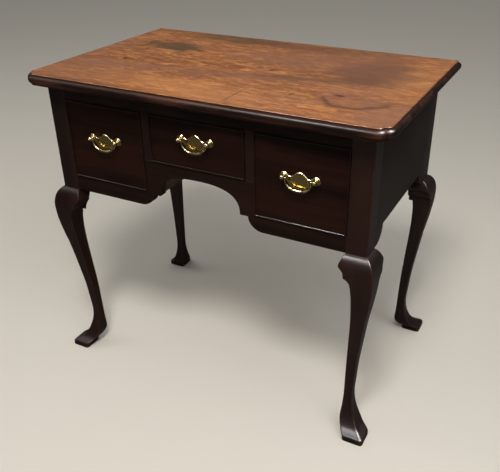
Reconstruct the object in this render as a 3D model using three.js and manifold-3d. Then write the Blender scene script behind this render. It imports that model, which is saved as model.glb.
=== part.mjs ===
// A lowboy: a small dressing table with a moulded top, three drawers in one row, a shaped apron
// with a kneehole arch, and four square cabriole legs. Millimetres, +Z up, front towards -Y.
// The origin is on the floor under the middle of the top.
import * as THREE from 'three';
import { mergeVertices } from 'three/addons/utils/BufferGeometryUtils.js';
import Module from 'manifold-3d';

// Overall sizes
const topWidth = 785;
const topDepth = 490;
const overallHeight = 695;
const topThickness = 22;

// Case: the box under the top, its sizes taken in from the edges of the top and down from it
const sideOverhang = 35.5;
const frontOverhang = 37;
const backOverhang = 32;
const postSize = 42;
const topRailHeight = 31;
const apronHeight = 34;
const railThickness = 20;
const sideThickness = 16;
const backThickness = 14;
const partitionThickness = 14;
const partitionDrop = 14;
const backPanelRise = 12;

// Drawer openings
const deepOpening = 170;
const shallowOpening = 100;
const centreOpening = 215;
const dividerWidth = 18;

// Joints and clearances
const revealGap = 0.5;
const jointGap = 0.3;
const tenonThickness = 8;
const tenonLength = 18;
const tenonShoulder = 6;
const stubLength = 8;
const tongueThickness = 6;
const tongueLength = 10;
const overrun = 2;

// Moulded edge of the top: a shallow quirk above a thumb moulding and a plain lower band
const mouldingReach = 8;
const quirkDepth = 2.4;
const quirkReach = 1.6;
const thumbDepth = 8;
const bandDepth = 3.4;
const bandReach = 2.6;
const notchDepth = 11.5;
const notchSteps = 4;
// Reach beyond the quirk and drop from its foot, down the thumb, then under its nose
const thumbShares = [[0, 0], [0.3, 0.08], [0.62, 0.3], [0.87, 0.62], [1, 1]];
const noseShares = [[0.96, 0.3], [0.8, 0.62], [0.5, 0.88]];

// Kneehole and apron outline
const archWidth = 187;
const archSpringRise = 29;
const archCover = 23;
const archFullness = 2.6;
const archSteps = 16;
const lipWidth = 18;
const cornerReach = 33;
const cornerSteps = 5;

// Lower edge of each side panel
const sideArchRise = 32;
const sideCornerReach = 33;
const sideCornerStart = 9;

// Cabriole leg, measured outwards or inwards from the corner of the case
const toeReach = 32;
const soleInset = 14;
const padHeight = 12;
const ankleHeight = 95;
const ankleSetIn = 11;
const ankleSize = 18.5;
const kneeDrop = 43;
const kneeReach = 20.5;
const kneeInset = 22;
const arrisChamfer = 1.4;
// Height, outward reach and inward reach from the pad to the ankle, then from the ankle to the knee
const footShares = [
  [0.05, 0.2, 0.39], [0.115, 0.4, 0.68], [0.21, 0.57, 0.94], [0.32, 0.71, 1.1],
  [0.46, 0.82, 1.1], [0.64, 0.92, 1.05], [0.83, 0.98, 1.02],
];
const shinShares = [
  [0.12, 0.06, 0.11], [0.27, 0.16, 0.29], [0.47, 0.38, 0.71], [0.65, 0.6, 1.09],
  [0.78, 0.81, 1.24], [0.88, 0.94, 1.16], [0.92, 0.975, 1],
];
// Height and outward reach of the roll that closes the knee under the case
const rollShares = [[0.25, 0.96], [0.45, 0.87], [0.62, 0.74], [0.77, 0.57], [0.88, 0.38], [0.96, 0.18]];

// Knee brackets. Those at the sides are cut from thicker stuff than those at the front.
const bracketReach = 28;
const bracketHeight = 62;
const frontBracketDepth = 22;
const sideBracketDepth = 31;
// Distance in from the leg and drop from the shoulder
const bracketShares = [
  [0, 0], [0.68, 0], [0.86, 0.14], [0.99, 0.31], [0.97, 0.36], [0.82, 0.43], [0.66, 0.5],
  [0.6, 0.56], [0.55, 0.69], [0.38, 0.73], [0.2, 0.8], [0.08, 0.89], [0, 1],
];

// Drawer boxes
const frontThickness = 20;
const drawerSideThickness = 9;
const drawerBackThickness = 9;
const bottomThickness = 7;
const bottomRise = 6;
const grooveDepth = 4;
const sideDrop = 3;
const backDrop = 4;
const tailDepth = 11;
const deepTails = 4;
const shallowTails = 2;
// Width of a tail at its end and at its root, against the distance from tail to tail
const tailEndShare = 0.62;
const tailRootShare = 0.48;

// Cockbead round each drawer front
const beadThickness = 3;
const beadDepth = 8;
const beadProjection = 2.8;
const beadRoundShare = 0.15;

// Runners, guides and kickers
const runnerHeight = 12;
const runnerWidth = 14;
const runnerLedge = 15;
const guideHeight = 30;
const kickerWidth = 32;
const kickerHeight = 18;
const kickerGap = 1;

// Brass handles
const deepHandleRise = 97;
const shallowHandleRise = 61;
const plateWidth = 82;
const plateRise = 11.5;
const plateDrop = 25.5;
const plateThickness = 1.6;
const plateSteps = 48;
// Right half of the plate's outline, from its peak down to its lowest point, against half its
// width and its rise above, or drop below, the line of the posts
const plateShares = [
  [0, 1], [0.09, 0.96], [0.19, 0.74], [0.3, 0.42], [0.4, 0.16], [0.49, 0.1], [0.59, 0.28],
  [0.67, 0.58], [0.78, 0.69], [0.89, 0.58], [0.97, 0.28], [1, 0], [0.97, -0.14], [0.89, -0.26],
  [0.78, -0.31], [0.67, -0.3], [0.6, -0.42], [0.52, -0.62], [0.4, -0.77], [0.27, -0.83],
  [0.13, -0.86], [0, -1],
];
const handleSpacing = 63.6;
const headStandoff = 10;
const headRadius = 4.8;
const headSteps = 5;
const neckRadius = 2.9;
const collarRadius = 5;
const collarHeight = 1.8;
const shankRadius = 2.4;
const nutRadius = 6.5;
const nutHeight = 4;
const shankTail = 2.5;
const latheSides = 12;
const bailDrop = 21.8;
const bailEndRadius = 1.5;
const bailBowRadius = 2.6;
const bailSides = 8;
const bailSteps = 22;
// Right half of the bow: distance from the middle and drop, against the bail's arm and drop
const bowShares = [[1, 0], [1.02, 0.18], [0.96, 0.45], [0.78, 0.74], [0.45, 0.94]];

// Places that follow from the sizes above
const half = (length) => length / 2;
const caseHalf = half(topWidth) - sideOverhang;
const caseFront = -half(topDepth) + frontOverhang;
const caseBack = half(topDepth) - backOverhang;
const caseTop = overallHeight - topThickness;
const openingTop = caseTop - topRailHeight;
const deepBottom = openingTop - deepOpening;
const shallowBottom = openingTop - shallowOpening;
const apronBottom = deepBottom - apronHeight;
const archSpring = apronBottom + archSpringRise;
const archCrown = shallowBottom - archCover;
const sideArchHeight = apronBottom + sideArchRise;
const kneeHeight = apronBottom - kneeDrop;
const postInner = caseHalf - postSize;
const centreHalf = half(centreOpening);
const deepInner = centreHalf + dividerWidth;
const railBack = caseFront + railThickness;
const backPanelFront = caseBack - backThickness;
const sideInner = caseHalf - sideThickness;

const wasm = await Module();
wasm.setup();

// Colours follow the photograph: dark old mahogany, a faded top, pale drawer linings and brass
const material = (color, roughness, metalness) =>
  new THREE.MeshStandardMaterial({ color, roughness, metalness });
const fadedTop = material(0xa8714a, 0.38, 0);
const darkWood = material(0x2e1712, 0.42, 0);
const liningWood = material(0x8c6a45, 0.7, 0);
const brass = material(0xb9974e, 0.3, 1);

const lowboy = new THREE.Group();

function addPiece(group, name, geometry, finish) {
  const mesh = new THREE.Mesh(geometry, finish);
  mesh.name = name;
  group.add(mesh);
  return mesh;
}

// Solid geometry helpers

// Merged, closed triangles of a geometry, without the collapsed ones at a pole or a shared point
function closedMesh(geometry) {
  const plain = geometry.clone();
  plain.deleteAttribute('normal');
  plain.deleteAttribute('uv');
  const merged = mergeVertices(plain);
  const index = merged.index.array;
  const kept = [];
  for (let i = 0; i < index.length; i += 3) {
    const [a, b, c] = [index[i], index[i + 1], index[i + 2]];
    if (a !== b && b !== c && c !== a) {
      kept.push(a, b, c);
    }
  }
  merged.setIndex(kept);
  return merged;
}

function solid(geometry) {
  const mesh = closedMesh(geometry);
  return new wasm.Manifold(new wasm.Mesh({
    numProp: 3,
    vertProperties: new Float32Array(mesh.attributes.position.array),
    triVerts: new Uint32Array(mesh.index.array),
  }));
}

function surface(body) {
  const mesh = body.getMesh();
  const geometry = new THREE.BufferGeometry();
  geometry.setAttribute('position', new THREE.BufferAttribute(mesh.vertProperties, 3));
  geometry.setIndex(new THREE.BufferAttribute(mesh.triVerts, 1));
  return geometry;
}

const joined = (bodies) => bodies.reduce((whole, body) => whole.add(body));
const cut = (body, tools) => tools.reduce((rest, tool) => rest.subtract(tool), body);

// A box between two corners; the coordinates of each pair may come in either order
function boxGeometry([xa, xb], [ya, yb], [za, zb]) {
  const box = new THREE.BoxGeometry(Math.abs(xb - xa), Math.abs(yb - ya), Math.abs(zb - za));
  return box.translate(half(xa + xb), half(ya + yb), half(za + zb));
}
const block = (x, y, z) => solid(boxGeometry(x, y, z));

// An outline pushed along one axis: [y, z] points along x, or [x, z] points along y
function extrudeAlong(axis, outline, from, to) {
  const shape = new THREE.Shape(outline.map(([u, v]) => new THREE.Vector2(u, v)));
  const extruded = new THREE.ExtrudeGeometry(shape, { depth: to - from, bevelEnabled: false });
  const placed = new THREE.Matrix4();
  if (axis === 'x') {
    placed.makeBasis(new THREE.Vector3(0, 1, 0), new THREE.Vector3(0, 0, 1), new THREE.Vector3(1, 0, 0));
    placed.setPosition(from, 0, 0);
  } else {
    placed.makeBasis(new THREE.Vector3(1, 0, 0), new THREE.Vector3(0, 0, 1), new THREE.Vector3(0, -1, 0));
    placed.setPosition(0, to, 0);
  }
  return extruded.applyMatrix4(placed);
}

// Rings of equal count joined into a skin. Its ends are capped, or it runs round into itself.
function skin(rings, { loop = false } = {}) {
  const count = rings[0].length;
  const points = rings.flat();
  const index = [];
  const spans = loop ? rings.length : rings.length - 1;
  for (let r = 0; r < spans; r += 1) {
    const low = r * count;
    const high = ((r + 1) % rings.length) * count;
    for (let k = 0; k < count; k += 1) {
      const next = (k + 1) % count;
      index.push(low + k, low + next, high + next, low + k, high + next, high + k);
    }
  }
  if (!loop) {
    const first = capTriangles(rings[0]);
    const last = capTriangles(rings[rings.length - 1]);
    const lastStart = (rings.length - 1) * count;
    first.forEach(([a, b, c]) => index.push(a, c, b));
    last.forEach(([a, b, c]) => index.push(lastStart + a, lastStart + b, lastStart + c));
  }
  const geometry = new THREE.BufferGeometry();
  geometry.setFromPoints(points);
  geometry.setIndex(index);
  return geometry;
}

// Triangles over a flat ring, seen along its own axis
function capTriangles(ring) {
  const origin = ring[0];
  const normal = new THREE.Vector3();
  for (let k = 1; k < ring.length - 1; k += 1) {
    const a = ring[k].clone().sub(origin);
    const b = ring[k + 1].clone().sub(origin);
    normal.add(a.cross(b));
  }
  normal.normalize();
  const across = ring[1].clone().sub(origin).normalize();
  const up = normal.clone().cross(across);
  const flat = ring.map((point) => {
    const offset = point.clone().sub(origin);
    return new THREE.Vector2(offset.dot(across), offset.dot(up));
  });
  return THREE.ShapeUtils.triangulateShape(flat, []);
}

// Top board

// Plan of the top at one distance beyond its upper edge line. The front corners are two rounded
// lobes that meet in a cusp; the back edge is plain, so it doesn't move.
function topOutline(reach, z) {
  const edgeX = half(topWidth) - mouldingReach;
  const edgeY = -half(topDepth) + mouldingReach;
  const lobe = notchDepth + reach;
  const cusp = Math.sqrt(half(lobe ** 2 - half(notchDepth ** 2))) - half(notchDepth);
  const meeting = Math.atan2(cusp, notchDepth + cusp);
  const right = [];
  for (let k = 0; k <= notchSteps; k += 1) {
    const angle = -Math.PI / 2 + (k / notchSteps) * (Math.PI / 2 - meeting);
    right.push([
      edgeX - 2 * notchDepth + lobe * Math.cos(angle),
      edgeY + notchDepth + lobe * Math.sin(angle),
    ]);
  }
  for (let k = 1; k <= notchSteps; k += 1) {
    const angle = -Math.PI / 2 + meeting + (k / notchSteps) * (Math.PI / 2 - meeting);
    right.push([
      edgeX - notchDepth + lobe * Math.cos(angle),
      edgeY + 2 * notchDepth + lobe * Math.sin(angle),
    ]);
  }
  right.push([edgeX + reach, half(topDepth)]);
  const left = right.map(([x, y]) => [-x, y]).reverse();
  return [...right, ...left].map(([x, y]) => new THREE.Vector3(x, y, z));
}

function topBoard() {
  const thumbTop = overallHeight - quirkDepth;
  const bandTop = caseTop + bandDepth;
  const noseHeight = thumbTop - thumbDepth;
  const levels = [[bandReach, caseTop], [bandReach, bandTop]];
  const nose = noseShares.map(([reachShare, dropShare]) => [
    bandReach + (mouldingReach - bandReach) * reachShare,
    noseHeight - (noseHeight - bandTop) * dropShare,
  ]);
  levels.push(...nose.reverse());
  const thumb = thumbShares.map(([reachShare, dropShare]) => [
    quirkReach + (mouldingReach - quirkReach) * reachShare,
    thumbTop - thumbDepth * dropShare,
  ]);
  levels.push(...thumb.reverse());
  levels.push([0, thumbTop], [0, overallHeight]);
  return skin(levels.map(([reach, z]) => topOutline(reach, z)));
}

addPiece(lowboy, 'top_board', topBoard(), fadedTop);

// Legs, each one piece with its corner post

// Height, outward reach and inward reach of the leg's square section, floor to shoulder
function legStations() {
  const ankleInset = ankleSetIn + ankleSize;
  const between = (from, to, share) => from + (to - from) * share;
  const stations = [[0, toeReach, soleInset], [padHeight, toeReach, soleInset]];
  footShares.forEach(([rise, outer, inner]) => stations.push([
    between(padHeight, ankleHeight, rise),
    between(toeReach, -ankleSetIn, outer),
    between(soleInset, ankleInset, inner),
  ]));
  stations.push([ankleHeight, -ankleSetIn, ankleInset]);
  shinShares.forEach(([rise, outer, inner]) => stations.push([
    between(ankleHeight, kneeHeight, rise),
    between(-ankleSetIn, kneeReach, outer),
    between(ankleInset, kneeInset, inner),
  ]));
  stations.push([kneeHeight, kneeReach, kneeInset]);
  rollShares.forEach(([rise, outerShare]) => stations.push([
    between(kneeHeight, apronBottom, rise),
    kneeReach * outerShare,
    kneeInset,
  ]));
  stations.push([apronBottom, 0, kneeInset]);
  return stations;
}

// Square section with eased arrises, anticlockwise seen from above
function squareSection([xa, xb], [ya, yb], z, ease) {
  const [west, east] = [Math.min(xa, xb), Math.max(xa, xb)];
  const [south, north] = [Math.min(ya, yb), Math.max(ya, yb)];
  return [
    [west + ease, south], [east - ease, south], [east, south + ease], [east, north - ease],
    [east - ease, north], [west + ease, north], [west, north - ease], [west, south + ease],
  ].map(([x, y]) => new THREE.Vector3(x, y, z));
}

const ends = [['front', caseFront, -1], ['back', caseBack, 1]];
const sides = [['left', -1], ['right', 1]];
const tongueX = half(caseHalf + sideInner);
const tongueBackY = half(caseBack + backPanelFront);
const tenonY = half(caseFront + railBack);

const spread = (middle, width) => [middle - half(width), middle + half(width)];
const sideTongueZ = [sideArchHeight, caseTop - tenonShoulder];
const backTongueZ = [apronBottom + backPanelRise, caseTop - tenonShoulder];
const apronTenonZ = [apronBottom + tenonShoulder, deepBottom - tenonShoulder];
const railTenonZ = [openingTop + tenonShoulder, caseTop - tenonShoulder];

// A mortise that leaves the joint gap all round its tenon
const grown = ([a, b], by) => (a < b ? [a - by, b + by] : [a + by, b - by]);

function leg(side, cornerY, end) {
  const rings = legStations().map(([z, outer, inner]) => squareSection(
    [side * (caseHalf + outer), side * (caseHalf - inner)],
    [cornerY + end * outer, cornerY - end * inner],
    z,
    arrisChamfer,
  ));
  rings.push(squareSection(
    [side * (caseHalf - arrisChamfer), side * (caseHalf - kneeInset)],
    [cornerY - end * arrisChamfer, cornerY - end * kneeInset],
    apronBottom + overrun,
    arrisChamfer,
  ));
  const postX = [side * caseHalf, side * postInner];
  const postY = [cornerY, cornerY - end * postSize];
  const post = block(postX, postY, [apronBottom, caseTop]);
  const whole = solid(skin(rings)).add(post);
  const sideMortise = block(
    grown(spread(side * tongueX, tongueThickness), jointGap),
    [cornerY - end * (postSize + overrun), cornerY - end * (postSize - tongueLength - jointGap)],
    grown(sideTongueZ, jointGap),
  );
  const innerMortise = (reach, y, z) => block(
    [side * (postInner - overrun), side * (postInner + reach + jointGap)],
    grown(y, jointGap),
    grown(z, jointGap),
  );
  if (end > 0) {
    const backMortise = innerMortise(tongueLength, spread(tongueBackY, tongueThickness), backTongueZ);
    return surface(cut(whole, [sideMortise, backMortise]));
  }
  const apronMortise = innerMortise(tenonLength, spread(tenonY, tenonThickness), apronTenonZ);
  const railMortise = innerMortise(tenonLength, spread(tenonY, tenonThickness), railTenonZ);
  return surface(cut(whole, [sideMortise, apronMortise, railMortise]));
}

for (const [end, cornerY, endSign] of ends) {
  for (const [side, sideSign] of sides) {
    addPiece(lowboy, `leg_${end}_${side}`, leg(sideSign, cornerY, endSign), darkWood);
  }
}

// Knee brackets: a scrolled outline whose face follows the roll of the knee

// Scrolled outline that leaves the leg's inner face at start
const scroll = (start, direction) => bracketShares.map(([reachShare, dropShare]) => [
  start + direction * (jointGap + bracketReach * reachShare),
  apronBottom - bracketHeight * dropShare,
]);

// Section from the rolled face back to a plain inner face, drawn from well below the scroll
function rolledSection(corner, direction, depth) {
  const stations = legStations().filter(([z]) => z > apronBottom - 2 * bracketHeight);
  return [
    ...stations.map(([z, outer]) => [corner + direction * outer, z]),
    [corner - direction * depth, apronBottom],
    [corner - direction * depth, stations[0][0]],
  ];
}

function frontBracket(side) {
  const profile = scroll(side * (caseHalf - kneeInset), -side);
  const thick = [caseFront - kneeReach - overrun, caseFront + frontBracketDepth + overrun];
  const long = spread(side * caseHalf, 2 * (kneeInset + bracketReach + overrun));
  const outlined = solid(extrudeAlong('y', profile, ...thick));
  const rolled = solid(extrudeAlong('x', rolledSection(caseFront, -1, frontBracketDepth), ...long));
  return surface(outlined.intersect(rolled));
}

function sideBracket(side, cornerY, end) {
  const profile = scroll(cornerY - end * kneeInset, -end);
  const thick = spread(side * caseHalf, 2 * (sideBracketDepth + kneeReach + overrun));
  const long = spread(cornerY, 2 * (kneeInset + bracketReach + overrun));
  const outlined = solid(extrudeAlong('x', profile, ...thick));
  const section = rolledSection(side * caseHalf, side, sideBracketDepth);
  return surface(outlined.intersect(solid(extrudeAlong('y', section, ...long))));
}

for (const [side, sideSign] of sides) {
  addPiece(lowboy, `bracket_front_${side}_front`, frontBracket(sideSign), darkWood);
  for (const [end, cornerY, endSign] of ends) {
    const geometry = sideBracket(sideSign, cornerY, endSign);
    addPiece(lowboy, `bracket_${end}_${side}_side`, geometry, darkWood);
  }
}

// Front frame: top rail, apron and the dividers between the drawers

const tenonRangeY = spread(tenonY, tenonThickness);
const dividerMiddle = centreHalf + half(dividerWidth);

function topRail() {
  const body = block([-postInner, postInner], [caseFront, railBack], [openingTop, caseTop]);
  const tenons = block(
    [-postInner - tenonLength, postInner + tenonLength],
    tenonRangeY,
    railTenonZ,
  );
  const mortises = sides.map(([, side]) => block(
    grown(spread(side * dividerMiddle, dividerWidth - tenonShoulder), jointGap),
    grown(tenonRangeY, jointGap),
    [openingTop - overrun, openingTop + stubLength + jointGap],
  ));
  return surface(cut(body.add(tenons), mortises));
}

// Right half of the apron's lower edge, from the post to the crown of the arch
function apronLowerEdge() {
  const archHalf = half(archWidth);
  const cornerX = archHalf + lipWidth;
  const edge = [[postInner, apronBottom]];
  for (let k = 0; k <= cornerSteps; k += 1) {
    const angle = (k / cornerSteps) * (Math.PI / 2);
    edge.push([
      cornerX + cornerReach * (1 - Math.sin(angle)),
      archSpring - (archSpring - apronBottom) * Math.cos(angle),
    ]);
  }
  for (let k = 0; k < archSteps; k += 1) {
    const angle = (k / archSteps) * (Math.PI / 2);
    edge.push([
      archHalf * Math.cos(angle) ** (2 / archFullness),
      archSpring + (archCrown - archSpring) * Math.sin(angle) ** (2 / archFullness),
    ]);
  }
  return edge;
}

function apron() {
  const right = apronLowerEdge();
  const left = right.map(([x, z]) => [-x, z]).reverse();
  const outline = [
    ...right,
    [0, archCrown],
    ...left,
    [-postInner, deepBottom], [-deepInner, deepBottom], [-deepInner, shallowBottom],
    [deepInner, shallowBottom], [deepInner, deepBottom], [postInner, deepBottom],
  ];
  const board = solid(extrudeAlong('y', outline, caseFront, railBack));
  const tenons = sides.map(([, side]) => block(
    [side * (postInner - overrun), side * (postInner + tenonLength)],
    tenonRangeY,
    apronTenonZ,
  ));
  const mortises = sides.map(([, side]) => block(
    grown(spread(side * dividerMiddle, dividerWidth - tenonShoulder), jointGap),
    grown(tenonRangeY, jointGap),
    [shallowBottom - stubLength - jointGap, shallowBottom + overrun],
  ));
  return surface(cut(joined([board, ...tenons]), mortises));
}

function divider(side) {
  const x = spread(side * dividerMiddle, dividerWidth);
  const body = block(x, [caseFront, railBack], [shallowBottom, openingTop]);
  const stubs = block(
    spread(side * dividerMiddle, dividerWidth - tenonShoulder),
    tenonRangeY,
    [shallowBottom - stubLength, openingTop + stubLength],
  );
  return surface(body.add(stubs));
}

addPiece(lowboy, 'top_rail', topRail(), darkWood);
addPiece(lowboy, 'apron', apron(), darkWood);
for (const [side, sideSign] of sides) {
  addPiece(lowboy, `divider_${side}`, divider(sideSign), darkWood);
}

// Side panels and back panel, held by tongues in the posts

const panelFront = caseFront + postSize;
const panelBack = caseBack - postSize;

function sidePanel(side) {
  const corner = (y, direction) => {
    const points = [];
    for (let k = 0; k <= cornerSteps; k += 1) {
      const angle = (k / cornerSteps) * (Math.PI / 2);
      points.push([
        y + direction * (sideCornerStart + sideCornerReach * Math.sin(angle)),
        sideArchHeight - (sideArchHeight - apronBottom) * Math.cos(angle),
      ]);
    }
    return points;
  };
  const outline = [
    [panelFront, apronBottom], ...corner(panelFront, 1),
    ...corner(panelBack, -1).reverse(), [panelBack, apronBottom],
    [panelBack, caseTop], [panelFront, caseTop],
  ];
  const x = [side * caseHalf, side * sideInner].sort((a, b) => a - b);
  const board = solid(extrudeAlong('x', outline, ...x));
  const tongues = [[panelFront, -1], [panelBack, 1]].map(([y, direction]) => block(
    spread(side * tongueX, tongueThickness),
    [y - direction * overrun, y + direction * tongueLength],
    sideTongueZ,
  ));
  return surface(joined([board, ...tongues]));
}

function backPanel() {
  const board = block(
    [-postInner, postInner],
    [backPanelFront, caseBack],
    [apronBottom + backPanelRise, caseTop],
  );
  const tongues = block(
    [-postInner - tongueLength, postInner + tongueLength],
    spread(tongueBackY, tongueThickness),
    backTongueZ,
  );
  return surface(board.add(tongues));
}

for (const [side, sideSign] of sides) {
  addPiece(lowboy, `side_panel_${side}`, sidePanel(sideSign), darkWood);
}
addPiece(lowboy, 'back_panel', backPanel(), liningWood);

// Inside the case: partitions, runners, guides and kickers

const innerY = [railBack, backPanelFront];

for (const [side, sideSign] of sides) {
  const partition = boxGeometry(
    spread(sideSign * dividerMiddle, partitionThickness),
    innerY,
    [deepBottom - partitionDrop, caseTop],
  );
  addPiece(lowboy, `partition_${side}`, partition, liningWood);

  // The outer runner is an angle: a guide beside the drawer, in line with the post, and a ledge
  const ledge = postInner - runnerLedge;
  const angleOutline = [
    [sideSign * ledge, deepBottom - runnerHeight],
    [sideSign * sideInner, deepBottom - runnerHeight],
    [sideSign * sideInner, deepBottom + guideHeight],
    [sideSign * postInner, deepBottom + guideHeight],
    [sideSign * postInner, deepBottom],
    [sideSign * ledge, deepBottom],
  ];
  const angle = extrudeAlong('y', angleOutline, panelFront, panelBack);
  addPiece(lowboy, `runner_${side}_outer`, angle, liningWood);

  const partitionFaces = spread(dividerMiddle, partitionThickness);
  const innerRunner = boxGeometry(
    [sideSign * partitionFaces[1], sideSign * (partitionFaces[1] + runnerWidth)],
    innerY,
    [deepBottom - runnerHeight, deepBottom],
  );
  addPiece(lowboy, `runner_${side}_inner`, innerRunner, liningWood);

  const centreRunner = boxGeometry(
    [sideSign * partitionFaces[0], sideSign * (partitionFaces[0] - runnerWidth)],
    innerY,
    [shallowBottom - runnerHeight, shallowBottom],
  );
  addPiece(lowboy, `runner_centre_${side}`, centreRunner, liningWood);
}

const deepMiddle = half(deepInner + postInner);
for (const [place, x] of [['left', -deepMiddle], ['centre', 0], ['right', deepMiddle]]) {
  const kicker = boxGeometry(
    spread(x, kickerWidth),
    innerY,
    [openingTop + kickerGap, openingTop + kickerGap + kickerHeight],
  );
  addPiece(lowboy, `kicker_${place}`, kicker, liningWood);
}

// Drawers. Each is drawn about the middle of its opening: x = 0 at the middle, y = 0 at the face
// of the case, z = 0 at the sill of the opening.

const drawerLength = backPanelFront - caseFront - revealGap;
const drawerBackFace = drawerLength - drawerBackThickness;
const grooveBottom = revealGap + bottomRise;
const grooveTop = grooveBottom + bottomThickness + 2 * jointGap;
const backBottom = grooveTop + jointGap;

// Dovetails on one end of a drawer side: tails that widen from yRoot to yEnd. Their sockets are
// the same shapes, grown by the joint gap, and run a little beyond the end.
function tails(x, yRoot, yEnd, [low, high], count, growth = 0, beyond = 0) {
  const pitch = (high - low) / count;
  const direction = Math.sign(yEnd - yRoot);
  const root = half(pitch * tailRootShare) + growth;
  const wide = half(pitch * tailEndShare) + growth;
  const start = yRoot - direction * overrun;
  const end = yEnd + direction * beyond;
  const made = [];
  for (let k = 0; k < count; k += 1) {
    const middle = low + (k + 0.5) * pitch;
    const outline = [[start, middle - root], [yRoot, middle - root], [yEnd, middle - wide]];
    if (beyond > 0) {
      outline.push([end, middle - wide], [end, middle + wide]);
    }
    outline.push([yEnd, middle + wide], [yRoot, middle + root], [start, middle + root]);
    const ordered = direction > 0 ? outline : outline.reverse();
    made.push(solid(extrudeAlong('x', ordered, x[0], x[1])));
  }
  return made;
}

function makeDrawer({ name, x, sill, opening, height, handleRise, tailCount }) {
  const group = new THREE.Group();
  group.position.set(x, caseFront, sill);
  lowboy.add(group);

  const outer = half(opening) - revealGap;
  const inner = outer - drawerSideThickness;
  const low = revealGap;
  const high = height - revealGap;
  const sideHigh = high - sideDrop;
  const frontTailZ = [low, sideHigh];
  const backTailZ = [backBottom, sideHigh - backDrop];
  const grooveZ = [grooveBottom, grooveTop];

  // The front is rebated all round for the cockbead, and bored for the handle shanks
  const frontCore = block(
    [-outer + beadThickness, outer - beadThickness],
    [0, frontThickness],
    [low + beadThickness, high - beadThickness],
  );
  const frontBody = block([-outer, outer], [beadDepth, frontThickness], [low, high]);
  const sockets = sides.flatMap(([, side]) => {
    const range = [side * (inner - jointGap), side * (outer + overrun)].sort((a, b) => a - b);
    const end = frontThickness - tailDepth;
    return tails(range, frontThickness, end, frontTailZ, tailCount, jointGap, jointGap);
  });
  const frontGroove = block(
    [-inner - grooveDepth, inner + grooveDepth],
    [frontThickness - grooveDepth, frontThickness + overrun],
    grooveZ,
  );
  const shankHoles = sides.map(([, side]) => {
    const hole = new THREE.CylinderGeometry(
      shankRadius + jointGap, shankRadius + jointGap, frontThickness + 2 * overrun, latheSides,
    );
    return solid(hole.translate(side * half(handleSpacing), half(frontThickness), handleRise));
  });
  const front = cut(frontCore.add(frontBody), [...sockets, frontGroove, ...shankHoles]);
  addPiece(group, `${name}_drawer_front`, surface(front), darkWood);

  // Cockbead: a mitred frame whose front edge is rounded
  const crown = -beadProjection;
  const shoulder = crown + half(beadThickness);
  const beadProfile = [
    [beadThickness, beadDepth], [beadThickness, shoulder],
    [beadThickness * (1 - beadRoundShare), half(crown + shoulder)], [half(beadThickness), crown],
    [beadThickness * beadRoundShare, half(crown + shoulder)], [0, shoulder], [0, beadDepth],
  ];
  const beadCorners = [
    (u) => [-outer + u, low + u], (u) => [outer - u, low + u],
    (u) => [outer - u, high - u], (u) => [-outer + u, high - u],
  ];
  const beadRings = beadCorners.map((corner) => beadProfile.map(([inset, y]) => {
    const [cornerX, cornerZ] = corner(inset);
    return new THREE.Vector3(cornerX, y, cornerZ);
  }));
  addPiece(group, `${name}_drawer_cockbead`, skin(beadRings, { loop: true }), darkWood);

  // Sides, dovetailed into the front and the back, grooved for the bottom
  for (const [side, sideSign] of sides) {
    const xRange = [sideSign * inner, sideSign * outer].sort((a, b) => a - b);
    const board = block(xRange, [frontThickness, drawerBackFace], [low, sideHigh]);
    const lip = block(
      xRange,
      [drawerBackFace - overrun, drawerLength],
      [low, backBottom - jointGap],
    );
    const frontTails = tails(
      xRange, frontThickness, frontThickness - tailDepth, frontTailZ, tailCount,
    );
    const backTails = tails(xRange, drawerBackFace, drawerLength, backTailZ, tailCount);
    const groove = block(
      [sideSign * (inner - overrun), sideSign * (inner + grooveDepth)],
      [frontThickness - grooveDepth, drawerLength + overrun],
      grooveZ,
    );
    const whole = cut(joined([board, lip, ...frontTails, ...backTails]), [groove]);
    addPiece(group, `${name}_drawer_side_${side}`, surface(whole), liningWood);
  }

  const backBoard = block(
    [-outer, outer],
    [drawerBackFace, drawerLength],
    [backBottom, sideHigh - backDrop],
  );
  const backSockets = sides.flatMap(([, side]) => {
    const range = [side * (inner - jointGap), side * (outer + overrun)].sort((a, b) => a - b);
    return tails(range, drawerBackFace, drawerLength, backTailZ, tailCount, jointGap, overrun);
  });
  addPiece(group, `${name}_drawer_back`, surface(cut(backBoard, backSockets)), liningWood);

  const bottom = boxGeometry(
    [-inner - grooveDepth + jointGap, inner + grooveDepth - jointGap],
    [frontThickness - grooveDepth + jointGap, drawerLength],
    [grooveBottom + jointGap, grooveBottom + jointGap + bottomThickness],
  );
  addPiece(group, `${name}_drawer_bottom`, bottom, liningWood);

  makeHandle(group, name, handleRise);
}

// Handles: a shaped plate, two turned posts with nuts behind the drawer front, and a hanging bail

function plateOutline() {
  const right = plateShares.map(([xShare, zShare]) => new THREE.Vector2(
    half(plateWidth) * xShare,
    zShare > 0 ? plateRise * zShare : plateDrop * zShare,
  ));
  const left = right.slice(1, -1).map((point) => new THREE.Vector2(-point.x, point.y)).reverse();
  const curve = new THREE.SplineCurve([...right, ...left, right[0]]);
  return curve.getPoints(plateSteps);
}

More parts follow.
